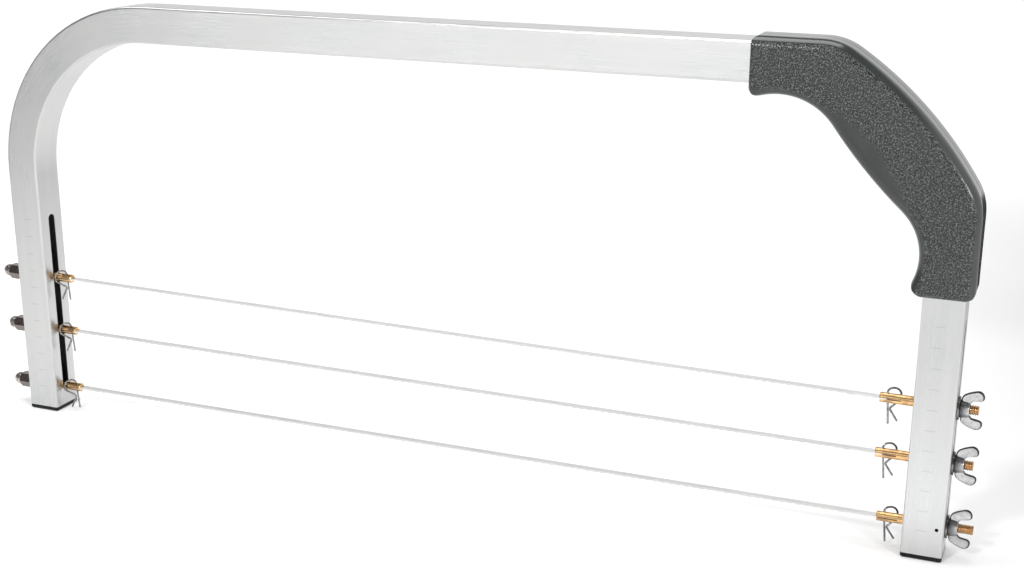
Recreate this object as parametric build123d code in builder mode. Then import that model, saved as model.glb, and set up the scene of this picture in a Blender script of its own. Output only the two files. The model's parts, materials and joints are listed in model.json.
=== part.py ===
from build123d import *

import os
from math import atan2, cos, radians, sin, sqrt

# Cake leveler: a bow frame of square aluminium tube that carries three serrated blades.
# Millimetres. X runs along the blades, Y is the depth with the cook at -Y, Z is up.
# The feet stand on Z = 0, and X = 0 is midway between the legs.

# Frame tube: one length of square tube with an equal large bend at each upper corner
tube_size = 19.05
tube_wall = 1.6
tube_corner = 1.2
tube_inner_corner = 0.4
frame_width = 520.3
frame_height = 237.5
bend_radius = 85.0

# Slot down each leg, cut through its inner and outer walls, in which the blade rods slide
slot_width = 5.16
slot_bottom = 10.5
slot_top = 116.9

# Small hole in the front wall of the right leg
drain_hole = 1.7
drain_from_edge = 3.4
drain_height = 16.5

# Black plastic cap pushed into the foot of each leg
cap_head = 2.5
cap_bevel = 0.7
cap_plug_depth = 6.8
cap_fit = 0.1
cap_core_inset = 1.6
cap_fin = 0.9
cap_fin_count = 3

# Moulded handle in two halves around the right bend
handle_half_depth = 12.0
handle_top_cover = 2.2
handle_side_cover = 3.5
handle_crown_cover = 1.9
handle_crown_radius = 184.0
handle_crown_corner = 28.0
handle_bar_reach = 7.8
handle_leg_reach = 14.9
handle_edge_round = 5.5
handle_end_round = 2.2
handle_seam_bevel = 0.3
handle_channel_gap = 0.1
bar_lip_drop = 6.8
leg_lip_drop = 7.5
bar_hollow_reach = 19.3
bar_hollow_drop = 0.65
bar_hollow_radius = 31.0
leg_hollow_reach = 11.1
leg_hollow_inset = 1.5
leg_hollow_radius = 28.0
palm_swell = 4.0
end_corner_top = 3.6
end_corner_bar_lip = 4.2
end_corner_leg_lip = 5.0
end_corner_side = 4.5

# Two screws that hold the halves together, driven from the rear beside the tube
screw_angles = (34.0, 56.0)
screw_from_tube = 5.0
screw_shank = 2.9
screw_head = 5.6
screw_head_height = 2.2
screw_length = 15.0
screw_recess = 3.0
screw_slot = 0.9
screw_slot_depth = 1.0
screw_pilot_gap = 0.05
screw_clearance = 0.2
counterbore_depth = 4.2
counterbore_gap = 0.3

# Blade: a thin stainless strip with teeth along its front edge and a hole at each end
blade_width = 4.8
blade_thickness = 0.5
blade_tuck = 8.5
tooth_pitch = 4.0
tooth_depth = 1.0
tooth_margin = 13.0
bevel_width = 1.9
bevel_edge = 0.16

# Brass rods that grip the blade ends in a sawn slit
rod_diameter = 4.76
rod_bevel = 0.35
slit_width = 0.62
slit_depth = 10.0
pin_hole = 1.5
pin_from_end = 3.6
left_rod_length = 38.1
right_rod_length = 44.5
left_rod_inside = 11.2
right_rod_inside = 16.1
right_rod_shift = {"bottom": 3.0, "middle": 0.0, "top": 0.0}

# Height of each blade's rod at the middle of the left and of the right leg: each end of a
# blade slides by itself in its slot and is set by hand, so the blades aren't quite level
left_height = {"bottom": 13.4, "middle": 48.4, "top": 80.0}
right_height = {"bottom": 14.9, "middle": 47.1, "top": 74.6}

# Washers, acorn nuts on the left and wing nuts on the right
seat_gap = 0.12
washer_diameter = 11.0
washer_thickness = 0.9
washer_gap = 0.22
nut_gap = 0.05
thread_gap = 0.05
acorn_flats = 8.0
acorn_hex_length = 10.6
acorn_hex_bevel = 0.8
acorn_neck = 7.0
acorn_dome_length = 5.5
acorn_neck_length = 1.4
acorn_bore_depth = 8.5
wing_hub_base = 8.6
wing_hub_top = 7.2
wing_hub_height = 4.3
wing_hub_collar = 1.0
wing_root = 0.4
wing_root_reach = 3.2
wing_reach = 9.9
wing_height = 10.4
wing_thickness = 1.9
wing_bevel = 0.5
wing_lean = {"bottom": -3.0, "middle": 1.0, "top": 5.0}

# Outline of a wing: places along the nut and out from its axis, as shares of height and reach
wing_outline = (
    (0.27, 0.72),
    (0.58, 0.93),
    (0.86, 1.00),
    (1.00, 0.86),
    (0.92, 0.64),
    (0.62, 0.50),
)

# Hairpin clip: its straight leg drops through the rod and blade, its sprung leg hugs the rod
clip_wire = 1.0
clip_wire_sides = 8
clip_swing = 28.0
clip_lean = 5.0
clip_leg_drop = 13.0
clip_loop_height = 4.5
clip_loop_width = 6.7
clip_loop_inner_round = 2.3
clip_loop_outer_round = 3.8
clip_shoulder_drop = 1.3
clip_shoulder_round = 1.4
clip_knee_offset = 0.82
clip_knee_drop = 5.4
clip_knee_round = 1.0
clip_toe_offset = 4.5
clip_toe_drop = 12.2

# Places worked out from the sizes above; X = 0 is midway between the acorn nuts' tips and the
# wing nuts' tips, so the legs stand a little to the right of it
half_tube = tube_size / 2
half_span = frame_width / 2
acorn_length = acorn_hex_length + acorn_dome_length
mid_x = (acorn_length - nut_gap - wing_height) / 2
leg_reach = half_span - half_tube
left_leg_x = mid_x - leg_reach
right_leg_x = mid_x + leg_reach
bar_z = frame_height - half_tube
bar_inner_z = frame_height - tube_size
bend_x = right_leg_x - bend_radius
bend_z = bar_z - bend_radius
leg_inner_x = right_leg_x - half_tube
rod_radius = rod_diameter / 2
levels = ("bottom", "middle", "top")


def tube_path():
    """Centre line of the tube, from the left foot over the bar to the right foot."""
    with BuildLine(Plane.XZ) as path:
        FilletPolyline(
            (left_leg_x, cap_head),
            (left_leg_x, bar_z),
            (right_leg_x, bar_z),
            (right_leg_x, cap_head),
            radius=bend_radius,
        )
    return path.wire()


def seat_plane(level):
    """Plane of one blade from midway between the legs: X along it, Y to the rear, Z up."""
    rise = left_height[level] - right_height[level]
    tilt = atan2(rise, 2 * leg_reach)
    middle = (left_height[level] + right_height[level]) / 2
    return Plane(
        origin=(mid_x, 0, middle),
        x_dir=(cos(tilt), 0, -sin(tilt)),
        z_dir=(sin(tilt), 0, cos(tilt)),
    )


def end_plane(seat, along):
    """Plane square to a blade's length at one place, with its own Z along the blade."""
    origin = seat.from_local_coords(Vector(along, 0, 0))
    return Plane(origin=origin, x_dir=seat.y_dir, z_dir=seat.x_dir)


def side_plane(seat, lean=0.0):
    """Plane through a blade's long axis, which is its X; its Y leans from upright to the front."""
    upright = seat.z_dir * cos(radians(lean)) - seat.y_dir * sin(radians(lean))
    return Plane(origin=seat.origin, x_dir=seat.x_dir, z_dir=seat.x_dir.cross(upright))


def clip_plane(seat, along, angle):
    """Plane of a clip: its Y is the straight leg, its X is turned by an angle from the blade."""
    origin = seat.from_local_coords(Vector(along, 0, 0))
    lean = radians(clip_lean)
    up = seat.z_dir * cos(lean) - seat.x_dir * sin(lean)
    outward = seat.x_dir * cos(lean) + seat.z_dir * sin(lean)
    across = outward * cos(radians(angle)) + seat.y_dir * sin(radians(angle))
    return Plane(origin=origin, x_dir=across, z_dir=across.cross(up))


def right_rod_start(level):
    """Where the right rod begins along the blade."""
    return half_span - tube_size - right_rod_inside + right_rod_shift[level]


def left_rod_start():
    """Where the left rod begins along the blade."""
    return left_rod_inside + tube_size - half_span


# Frame tube
with BuildPart() as frame_tube:
    with BuildSketch(Plane.XY.offset(cap_head)):
        with Locations((left_leg_x, 0)):
            RectangleRounded(tube_size, tube_size, tube_corner)
            bore = tube_size - 2 * tube_wall
            RectangleRounded(bore, bore, tube_inner_corner, mode=Mode.SUBTRACT)
    sweep(path=tube_path())
    with BuildSketch(Plane.YZ):
        with Locations((0, (slot_bottom + slot_top) / 2)):
            SlotOverall(slot_top - slot_bottom, slot_width, rotation=90)
    extrude(amount=frame_width, both=True, mode=Mode.SUBTRACT)
    with BuildSketch(Plane.XZ.offset(half_tube)):
        with Locations((right_leg_x + half_tube - drain_from_edge, drain_height)):
            Circle(drain_hole / 2)
    extrude(amount=-tube_wall, mode=Mode.SUBTRACT)
frame_tube.part.label = "frame_tube"

os.makedirs("parts", exist_ok=True)
export_step(frame_tube.part, "parts/frame_tube.step")

# Foot caps: a bevelled head under the tube and a finned plug inside it
for side, side_x in (("left", left_leg_x), ("right", right_leg_x)):
    with BuildPart() as foot_cap:
        with BuildSketch():
            with Locations((side_x, 0)):
                RectangleRounded(tube_size, tube_size, tube_corner)
        extrude(amount=cap_head)
        chamfer(foot_cap.faces().sort_by(Axis.Z)[0].edges(), cap_bevel)
        plug = bore - 2 * cap_fit
        with BuildSketch(Plane.XY.offset(cap_head)):
            with Locations((side_x, 0)):
                Rectangle(plug - 2 * cap_core_inset, plug - 2 * cap_core_inset)
        extrude(amount=cap_plug_depth)
        fin_step = (cap_plug_depth - cap_fin) / (cap_fin_count - 1)
        for fin in range(cap_fin_count):
            with BuildSketch(Plane.XY.offset(cap_head + fin * fin_step)):
                with Locations((side_x, 0)):
                    RectangleRounded(plug, plug, tube_inner_corner)
            extrude(amount=cap_fin)
    foot_cap.part.label = f"{side}_foot_cap"
    export_step(foot_cap.part, f"parts/{side}_foot_cap.step")

# Outline of the handle, seen from the front
handle_left = bend_x - handle_bar_reach
handle_bottom = bend_z - handle_leg_reach
handle_top = frame_height + handle_top_cover
handle_right = right_leg_x + half_tube + handle_side_cover
bar_lip_z = bar_inner_z - bar_lip_drop
leg_lip_x = leg_inner_x - leg_lip_drop
diagonal = sqrt(0.5)
crown_reach = bend_radius + half_tube + handle_crown_cover
crown_x = bend_x + (crown_reach - handle_crown_radius) * diagonal
crown_z = bend_z + (crown_reach - handle_crown_radius) * diagonal
crown_start_x = crown_x + sqrt(handle_crown_radius**2 - (handle_top - crown_z) ** 2)
crown_end_z = crown_z + sqrt(handle_crown_radius**2 - (handle_right - crown_x) ** 2)
crown_start = (crown_start_x, handle_top)
crown_middle = (bend_x + crown_reach * diagonal, bend_z + crown_reach * diagonal)
crown_end = (handle_right, crown_end_z)
bar_hollow = (bend_x + bar_hollow_reach, bar_inner_z - bar_hollow_drop)
leg_hollow = (leg_inner_x + leg_hollow_inset, bend_z + leg_hollow_reach)
bar_lip_slope = (bar_hollow[1] - bar_lip_z) / (bar_hollow[0] - handle_left)
leg_lip_slope = (leg_hollow[0] - leg_lip_x) / (leg_hollow[1] - handle_bottom)
palm_line = Vector(*leg_hollow) - Vector(*bar_hollow)
palm_out = Vector(palm_line.Y, -palm_line.X).normalized()
palm_middle = (Vector(*bar_hollow) + Vector(*leg_hollow)) / 2 + palm_out * palm_swell


def handle_outline(run_out):
    """Face of the handle's outline, with both ends carried on by run_out."""
    top_end = (handle_left - run_out, handle_top)
    bar_end = (handle_left - run_out, bar_lip_z - run_out * bar_lip_slope)
    leg_end = (leg_lip_x - run_out * leg_lip_slope, handle_bottom - run_out)
    side_end = (handle_right, handle_bottom - run_out)
    rounds = [
        (crown_start, handle_crown_corner),
        (crown_end, handle_crown_corner),
        (bar_hollow, bar_hollow_radius),
        (leg_hollow, leg_hollow_radius),
    ]
    if run_out == 0:
        rounds += [
            (top_end, end_corner_top),
            (bar_end, end_corner_bar_lip),
            (leg_end, end_corner_leg_lip),
            (side_end, end_corner_side),
        ]
    with BuildSketch() as outline:
        with BuildLine():
            Polyline(bar_end, top_end, crown_start)
            ThreePointArc(crown_start, crown_middle, crown_end)
            Polyline(crown_end, side_end, leg_end, leg_hollow)
            ThreePointArc(leg_hollow, palm_middle, bar_hollow)
            Line(bar_hollow, bar_end)
        make_face()
        for corner, corner_round in rounds:
            fillet(outline.vertices().sort_by_distance(corner)[0], corner_round)
    return outline.sketch


long_outline = handle_outline(3 * handle_edge_round)
exact_outline = handle_outline(0)

# Screw places, on an arc beside the tube's inner wall
screw_reach = bend_radius - half_tube - screw_from_tube
screw_places = [
    (bend_x + screw_reach * cos(radians(angle)), bend_z + screw_reach * sin(radians(angle)))
    for angle in screw_angles
]
counterbore_floor = handle_half_depth - counterbore_depth


def handle_ends(facing):
    """Solid of the exact outline with a small round all along its broad face."""
    with BuildPart() as trimmed:
        with BuildSketch(Plane.XZ):
            add(exact_outline)
        extrude(amount=facing * handle_half_depth)
        outer_face = trimmed.faces().sort_by(Axis.Y)[0 if facing > 0 else -1]
        fillet(outer_face.edges(), handle_end_round)
    return trimmed.part


# Handle halves: each is filleted along its long edges, trimmed to its rounded ends and hollowed
for side, facing in (("front", 1), ("rear", -1)):
    with BuildPart() as handle_half:
        with BuildSketch(Plane.XZ):
            add(long_outline)
        extrude(amount=facing * handle_half_depth)
        broad_face = handle_half.faces().sort_by(Axis.Y)[0 if facing > 0 else -1]
        ends = [broad_face.edges().sort_by(Axis.X)[0], broad_face.edges().sort_by(Axis.Z)[0]]
        long_edges = [edge for edge in broad_face.edges() if edge not in ends]
        fillet(long_edges, handle_edge_round)
        add(handle_ends(facing), mode=Mode.INTERSECT)
        seam_edges = handle_half.edges().group_by(Axis.Y)[-1 if facing > 0 else 0]
        chamfer(seam_edges, handle_seam_bevel)
        channel = tube_size + 2 * handle_channel_gap
        with BuildSketch(Plane.XY.offset(cap_head)):
            with Locations((left_leg_x, 0)):
                RectangleRounded(channel, channel, tube_corner)
        sweep(path=tube_path(), mode=Mode.SUBTRACT)
        if side == "rear":
            with BuildSketch(Plane.XZ.offset(-handle_half_depth)):
                with Locations(*screw_places):
                    Circle(screw_head / 2 + counterbore_gap)
            extrude(amount=counterbore_depth, mode=Mode.SUBTRACT)
            with BuildSketch(Plane.XZ.offset(-handle_half_depth)):
                with Locations(*screw_places):
                    Circle(screw_shank / 2 + screw_clearance)
            extrude(amount=handle_half_depth, mode=Mode.SUBTRACT)
        else:
            with BuildSketch(Plane.XZ):
                with Locations(*screw_places):
                    Circle(screw_shank / 2 + screw_pilot_gap)
            extrude(amount=screw_length - counterbore_floor + 1, mode=Mode.SUBTRACT)
    handle_half.part.label = f"handle_{side}_half"
    export_step(handle_half.part, f"parts/handle_{side}_half.step")

# Handle screws, as one group of two separate solids
with BuildPart() as handle_screws:
    with BuildSketch(Plane.XZ.offset(-counterbore_floor)):
        with Locations(*screw_places):
            Circle(screw_shank / 2)
    extrude(amount=screw_length)
    with BuildSketch(Plane.XZ.offset(-counterbore_floor)):
        with Locations(*screw_places):
            Circle(screw_head / 2)
    extrude(amount=-screw_head_height)
    with BuildSketch(Plane.XZ.offset(-counterbore_floor - screw_head_height)):
        with Locations(*screw_places):
            Rectangle(screw_recess, screw_slot)
            Rectangle(screw_slot, screw_recess)
    extrude(amount=screw_slot_depth, mode=Mode.SUBTRACT)
handle_screws.part.label = "handle_screws"
export_step(handle_screws.part, "parts/handle_screws.step")

for level in levels:
    seat = seat_plane(level)
    left_start = left_rod_start()
    right_start = right_rod_start(level)

    # Blade: the tips and roots of the teeth alternate along the front edge
    blade_left = left_start - blade_tuck
    blade_right = right_start + blade_tuck
    teeth_left = left_start + tooth_margin
    tooth_count = int((right_start - tooth_margin - teeth_left) / tooth_pitch)
    front = -blade_width / 2
    edge_line = [(blade_left, front), (teeth_left, front)]
    for tooth in range(tooth_count):
        edge_line.append((teeth_left + (tooth + 0.5) * tooth_pitch, front + tooth_depth))
        edge_line.append((teeth_left + (tooth + 1) * tooth_pitch, front))
    teeth_right = edge_line[-1][0]
    edge_line += [(blade_right, front), (blade_right, -front), (blade_left, -front)]
    with BuildPart() as blade:
        with BuildSketch(seat):
            with BuildLine():
                Polyline(*edge_line, close=True)
            make_face()
            with Locations((left_start - pin_from_end, 0), (right_start + pin_from_end, 0)):
                Circle(pin_hole / 2, mode=Mode.SUBTRACT)
        extrude(amount=blade_thickness / 2, both=True)
        with BuildSketch(end_plane(seat, teeth_left - bevel_width)):
            with BuildLine():
                Polyline(
                    (front + bevel_width, blade_thickness / 2),
                    (front, bevel_edge - blade_thickness / 2),
                    (front - 1, bevel_edge - blade_thickness / 2),
                    (front - 1, blade_thickness),
                    (front + bevel_width, blade_thickness),
                    close=True,
                )
            make_face()
        extrude(amount=teeth_right - teeth_left + 2 * bevel_width, mode=Mode.SUBTRACT)
    blade.part.label = f"{level}_blade"
    export_step(blade.part, f"parts/{level}_blade.step")

    # Rods, each slit flat from its blade end and drilled upright for the clip
    rods = (
        ("left", left_start - left_rod_length, left_rod_length, left_start - slit_depth,
         left_start - pin_from_end),
        ("right", right_start, right_rod_length, right_start, right_start + pin_from_end),
    )
    for side, rod_from, rod_length, slit_from, pin_x in rods:
        with BuildPart() as rod:
            with BuildSketch(end_plane(seat, rod_from)):
                Circle(rod_radius)
            extrude(amount=rod_length)
            chamfer(rod.edges(), rod_bevel)
            with BuildSketch(seat):
                with Locations((slit_from + slit_depth / 2, 0)):
                    Rectangle(slit_depth, 2 * rod_diameter)
            extrude(amount=slit_width / 2, both=True, mode=Mode.SUBTRACT)
            with BuildSketch(seat):
                with Locations((pin_x, 0)):
                    Circle(pin_hole / 2)
            extrude(amount=rod_diameter, both=True, mode=Mode.SUBTRACT)
        rod.part.label = f"{level}_{side}_rod"
        export_step(rod.part, f"parts/{level}_{side}_rod.step")

    # Washers against the outer face of each leg
    washers = (
        ("left", -half_span - seat_gap - washer_thickness),
        ("right", half_span + seat_gap),
    )
    for side, washer_from in washers:
        with BuildPart() as washer:
            with BuildSketch(end_plane(seat, washer_from)):
                Circle(washer_diameter / 2)
                Circle(rod_radius + washer_gap, mode=Mode.SUBTRACT)
            extrude(amount=washer_thickness)
        washer.part.label = f"{level}_{side}_washer"
        export_step(washer.part, f"parts/{level}_{side}_washer.step")

    # Acorn nut: a long hexagon with a domed cap, closed at its far end
    acorn_base = -half_span - seat_gap - washer_thickness
    hex_end = acorn_base - acorn_hex_length
    dome_tip = hex_end - acorn_dome_length
    neck_end = hex_end - acorn_neck_length
    neck = acorn_neck / 2
    corner_reach = acorn_flats / sqrt(3)
    with BuildPart() as acorn_nut:
        with BuildSketch(end_plane(seat, dome_tip)):
            RegularPolygon(acorn_flats / 2, 6, major_radius=False)
        extrude(amount=acorn_length)
        with BuildSketch(side_plane(seat)):
            with BuildLine():
                Polyline(
                    (acorn_base + 1, 0),
                    (acorn_base + 1, corner_reach + 1),
                    (hex_end + acorn_hex_bevel, corner_reach + 1),
                    (hex_end + acorn_hex_bevel, corner_reach),
                    (hex_end, neck),
                    (neck_end, neck),
                )
                EllipticalCenterArc(
                    (neck_end, 0), neck_end - dome_tip, neck, start_angle=90, arc_size=90
                )
                Line((dome_tip, 0), (acorn_base + 1, 0))
            make_face()
        revolve(axis=Axis(seat.origin, seat.x_dir), mode=Mode.INTERSECT)
        with BuildSketch(end_plane(seat, acorn_base - acorn_bore_depth)):
            Circle(rod_radius + thread_gap)
        extrude(amount=acorn_length, mode=Mode.SUBTRACT)
    acorn_nut.part.label = f"{level}_acorn_nut"
    export_step(acorn_nut.part, f"parts/{level}_acorn_nut.step")

    # Wing nut: a tapered hub on the rod's thread with two broad rounded wings
    wing_base = half_span + seat_gap + washer_thickness + nut_gap
    wing_root_start = (wing_base + wing_root, wing_root_reach)
    wing_root_end = (wing_base + wing_hub_height - wing_root, wing_root_reach)
    wing_edge = [
        (wing_base + along * wing_height, out * wing_reach) for along, out in wing_outline
    ]
    with BuildPart() as wing_nut:
        with BuildSketch(side_plane(seat, wing_lean[level])):
            with BuildLine():
                Spline(wing_root_start, *wing_edge, wing_root_end)
                Line(wing_root_end, wing_root_start)
            make_face()
        extrude(amount=wing_thickness / 2, both=True)
        chamfer(wing_nut.edges().filter_by(GeomType.BSPLINE), wing_bevel)
        mirror(about=Plane(origin=seat.origin, z_dir=side_plane(seat, wing_lean[level]).y_dir))
        with BuildSketch(side_plane(seat)):
            with BuildLine():
                Polyline(
                    (wing_base, 0),
                    (wing_base, wing_hub_base / 2),
                    (wing_base + wing_hub_collar, wing_hub_base / 2),
                    (wing_base + wing_hub_height, wing_hub_top / 2),
                    (wing_base + wing_hub_height, 0),
                    close=True,
                )
            make_face()
        revolve(axis=Axis(seat.origin, seat.x_dir))
        with BuildSketch(end_plane(seat, wing_base)):
            Circle(rod_radius + thread_gap)
        extrude(amount=wing_height, mode=Mode.SUBTRACT)
    wing_nut.part.label = f"{level}_wing_nut"
    export_step(wing_nut.part, f"parts/{level}_wing_nut.step")

    # Clips: the right one's sprung leg passes behind its rod, the left one's in front
    clips = (
        ("left", left_start - pin_from_end, 180 + clip_swing),
        ("right", right_start + pin_from_end, clip_swing),
    )
    for side, pin_x, angle in clips:
        with BuildPart() as clip:
            with BuildLine(clip_plane(seat, pin_x, angle)):
                clip_path = FilletPolyline(
                    (0, -clip_leg_drop),
                    (0, clip_loop_height),
                    (clip_loop_width, clip_loop_height),
                    (clip_loop_width, -clip_shoulder_drop),
                    (clip_knee_offset, -clip_knee_drop),
                    (clip_toe_offset, -clip_toe_drop),
                    radius=[
                        clip_loop_inner_round,
                        clip_loop_outer_round,
                        clip_shoulder_round,
                        clip_knee_round,
                    ],
                )
            with BuildSketch(Plane(origin=clip_path @ 0, z_dir=clip_path % 0)):
                RegularPolygon(clip_wire / 2, clip_wire_sides)
            sweep(path=clip_path)
        clip.part.label = f"{level}_{side}_clip"
        export_step(clip.part, f"parts/{level}_{side}_clip.step")
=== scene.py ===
# %% [markdown]
# A cake leveler is a bow of square aluminium tube that holds thin serrated blades, like a
# hacksaw for sponge cake. The shapes that carry, fasten and move come from a finished
# construction model. This script loads that model and gives it its finishes: satin anodised
# metal, moulded plastic with a fine grain, turned brass with a real thread, and drawn wire.

import json
from math import cos, pi, radians, sin

import bmesh
import bpy
import numpy as np
from mathutils import Matrix, Vector


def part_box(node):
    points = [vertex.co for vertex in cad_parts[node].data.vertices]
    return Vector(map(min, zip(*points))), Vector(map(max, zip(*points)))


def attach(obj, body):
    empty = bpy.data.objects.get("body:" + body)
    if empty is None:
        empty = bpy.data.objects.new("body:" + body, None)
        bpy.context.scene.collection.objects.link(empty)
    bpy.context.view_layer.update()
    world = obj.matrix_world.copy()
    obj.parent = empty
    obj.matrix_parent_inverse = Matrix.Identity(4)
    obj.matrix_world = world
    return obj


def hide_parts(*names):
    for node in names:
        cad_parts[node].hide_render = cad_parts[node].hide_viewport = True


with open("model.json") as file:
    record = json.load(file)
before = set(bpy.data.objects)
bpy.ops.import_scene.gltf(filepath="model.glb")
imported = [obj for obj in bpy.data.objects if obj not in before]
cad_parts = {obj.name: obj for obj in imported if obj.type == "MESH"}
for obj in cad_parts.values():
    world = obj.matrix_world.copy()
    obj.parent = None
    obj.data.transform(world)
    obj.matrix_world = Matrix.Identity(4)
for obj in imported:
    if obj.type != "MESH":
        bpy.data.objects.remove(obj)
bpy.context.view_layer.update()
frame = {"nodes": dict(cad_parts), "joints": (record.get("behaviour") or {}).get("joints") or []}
nodes = frame["nodes"]
joints = {joint["name"]: joint for joint in frame["joints"]}
levels = ("bottom", "middle", "top")
mm = 0.001

# %% [markdown]
# Every finish below is a small network of shader nodes. It could be clicked together in the
# node editor, but a script says what it does line by line. Short helpers keep it readable: one
# adds a node and fills its sockets, one does arithmetic, and one is a smooth step between two
# limits.

# %% Helpers that add nodes
def add_node(tree, kind, sockets=None, **settings):
    """Adds a node. settings are its properties; sockets fills inputs with values or links."""
    made = tree.nodes.new(kind)
    for name, value in settings.items():
        setattr(made, name, value)
    for key, value in (sockets or {}).items():
        if isinstance(value, bpy.types.NodeSocket):
            tree.links.new(value, made.inputs[key])
        else:
            made.inputs[key].default_value = value
    return made


def calculate(tree, operation, *values, clamp=False):
    """The output socket of a Math node that works on one to three values."""
    sockets = dict(enumerate(values))
    made = add_node(tree, "ShaderNodeMath", sockets, operation=operation, use_clamp=clamp)
    return made.outputs[0]


def ramp_between(tree, value, start, end, low=0.0, high=1.0):
    """A smooth step of a value: low up to start, high from end on."""
    made = add_node(
        tree,
        "ShaderNodeMapRange",
        {"Value": value, "From Min": start, "From Max": end, "To Min": low, "To Max": high},
        interpolation_type="SMOOTHSTEP",
    )
    return made.outputs[0]


print("node helpers ready")

# %% [markdown]
# Places and colours have three parts. A place is split when only one direction matters, and
# joined again to feed a texture. Colours are mixed by a share from 0 to 1.

# %% Helpers for places and colours
def split_vector(tree, vector):
    """The three numbers of a vector, as sockets."""
    return add_node(tree, "ShaderNodeSeparateXYZ", {0: vector}).outputs


def join_vector(tree, first, second, third):
    """A vector of three numbers or sockets."""
    return add_node(tree, "ShaderNodeCombineXYZ", {0: first, 1: second, 2: third}).outputs[0]


def mix_colours(tree, share, first, second):
    """The first colour where share is 0, the second where it is 1."""
    made = add_node(tree, "ShaderNodeMix", data_type="RGBA")
    for key, value in ((0, share), (6, first), (7, second)):
        if isinstance(value, bpy.types.NodeSocket):
            tree.links.new(value, made.inputs[key])
        else:
            made.inputs[key].default_value = (*value, 1) if key else value
    return made.outputs[2]


print("place and colour helpers ready")

# %% [markdown]
# A group is a network with named inputs that several materials share, which is the node
# editor's way to write a function. A material starts from its shader and from the object's own
# coordinates in metres, so every length written in it is a real one. Relief tilts the surface
# as grooves of a given depth would, which is enough for marks too fine to model.

# %% Helpers that start groups and materials
def start_group(name, inputs, outputs):
    """A new shader node group. inputs maps names to default values, outputs lists names."""
    group = bpy.data.node_groups.new(name, "ShaderNodeTree")
    for socket_name, value in inputs.items():
        kind = "NodeSocketVector" if socket_name == "Vector" else "NodeSocketFloat"
        socket = group.interface.new_socket(socket_name, in_out="INPUT", socket_type=kind)
        if value is not None:
            socket.default_value = value
    for socket_name in outputs:
        group.interface.new_socket(socket_name, in_out="OUTPUT", socket_type="NodeSocketFloat")
    return group, group.nodes.new("NodeGroupInput").outputs, group.nodes.new("NodeGroupOutput")


def use_group(tree, group, sockets):
    """Places a group in a material with its own values, and returns its outputs."""
    return add_node(tree, "ShaderNodeGroup", sockets, node_tree=group).outputs


def start_material(name):
    """A material with its tree, its Principled shader and its object coordinates."""
    made = bpy.data.materials.new(name)
    made.use_nodes = True
    tree = made.node_tree
    place = add_node(tree, "ShaderNodeTexCoord").outputs["Object"]
    return made, tree, tree.nodes["Principled BSDF"], place


def add_relief(tree, shader, height, depth):
    """Feeds a height from 0 to 1 through a Bump node, depth metres deep, into the shader."""
    bump = add_node(tree, "ShaderNodeBump", {"Height": height, "Distance": depth})
    tree.links.new(bump.outputs[0], shader.inputs["Normal"])


def finish_with(material, *names):
    """Gives a material to the named construction nodes."""
    for name in names:
        piece = nodes[name]
        piece.data.materials.clear()
        piece.data.materials.append(material)


print("group and material helpers ready")

# %% [markdown]
# The tube was drawn straight and then bent, so its fine lines follow the bow. Two numbers place
# a point on it: how far it is across the tube from its middle line, and how far along it. The
# handle needs the same two numbers for its grain, so they are worked out in a shared group.

# %% The bow's own coordinates
bow_middle = 2.825 * mm  # X midway between the legs
bend_reach = 165.625 * mm  # from there to the centre of each bend
bend_height = 142.975 * mm  # of both centres over the floor
bend_radius = 85.0 * mm  # of the tube's middle line

bow_place, given, result = start_group("bow_place", {"Vector": None}, ("Across", "Along"))
tree = bow_place
x, y, z = split_vector(tree, given["Vector"])
side = calculate(tree, "ABSOLUTE", calculate(tree, "SUBTRACT", x, bow_middle))
past_bend = calculate(tree, "MAXIMUM", calculate(tree, "SUBTRACT", side, bend_reach), 0.0)
above_bend = calculate(tree, "MAXIMUM", calculate(tree, "SUBTRACT", z, bend_height), 0.0)
corner_vector = join_vector(tree, past_bend, above_bend, 0.0)
corner_length = add_node(tree, "ShaderNodeVectorMath", {0: corner_vector}, operation="LENGTH")
across = calculate(tree, "SUBTRACT", corner_length.outputs["Value"], bend_radius)
tree.links.new(across, result.inputs["Across"])
tree.links.new(calculate(tree, "SUBTRACT", side, z), result.inputs["Along"])
print("group made:", bow_place.name)

# %% [markdown]
# Drawing, rolling and turning all leave fine parallel lines. The group below makes them from
# noise that is stretched along X and squeezed across it, so each material only has to turn its
# own coordinates until X runs with the lines. A second group gives the soft, cloudy unevenness
# that every handled surface has.

# %% Groups for worked lines and for clouds
worked_lines, given, result = start_group(
    "worked_lines", {"Vector": None, "Fineness": 4000.0, "Length": 60.0}, ("Lines",)
)
tree = worked_lines
stretch = join_vector(tree, given["Length"], given["Fineness"], given["Fineness"])
stretched = add_node(
    tree, "ShaderNodeVectorMath", {0: given["Vector"], 1: stretch}, operation="MULTIPLY"
)
noise = add_node(
    tree,
    "ShaderNodeTexNoise",
    {"Vector": stretched.outputs[0], "Scale": 1.0, "Detail": 2.0, "Roughness": 0.6},
)
tree.links.new(ramp_between(tree, noise.outputs[0], 0.25, 0.75), result.inputs["Lines"])

clouds, given, result = start_group("clouds", {"Vector": None, "Size": 0.02}, ("Cloud",))
tree = clouds
scale = calculate(tree, "DIVIDE", 1.0, given["Size"])
noise = add_node(
    tree,
    "ShaderNodeTexNoise",
    {"Vector": given["Vector"], "Scale": scale, "Detail": 3.0, "Roughness": 0.5},
)
tree.links.new(ramp_between(tree, noise.outputs[0], 0.3, 0.7), result.inputs["Cloud"])
print("groups made:", worked_lines.name, "and", clouds.name)

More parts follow.
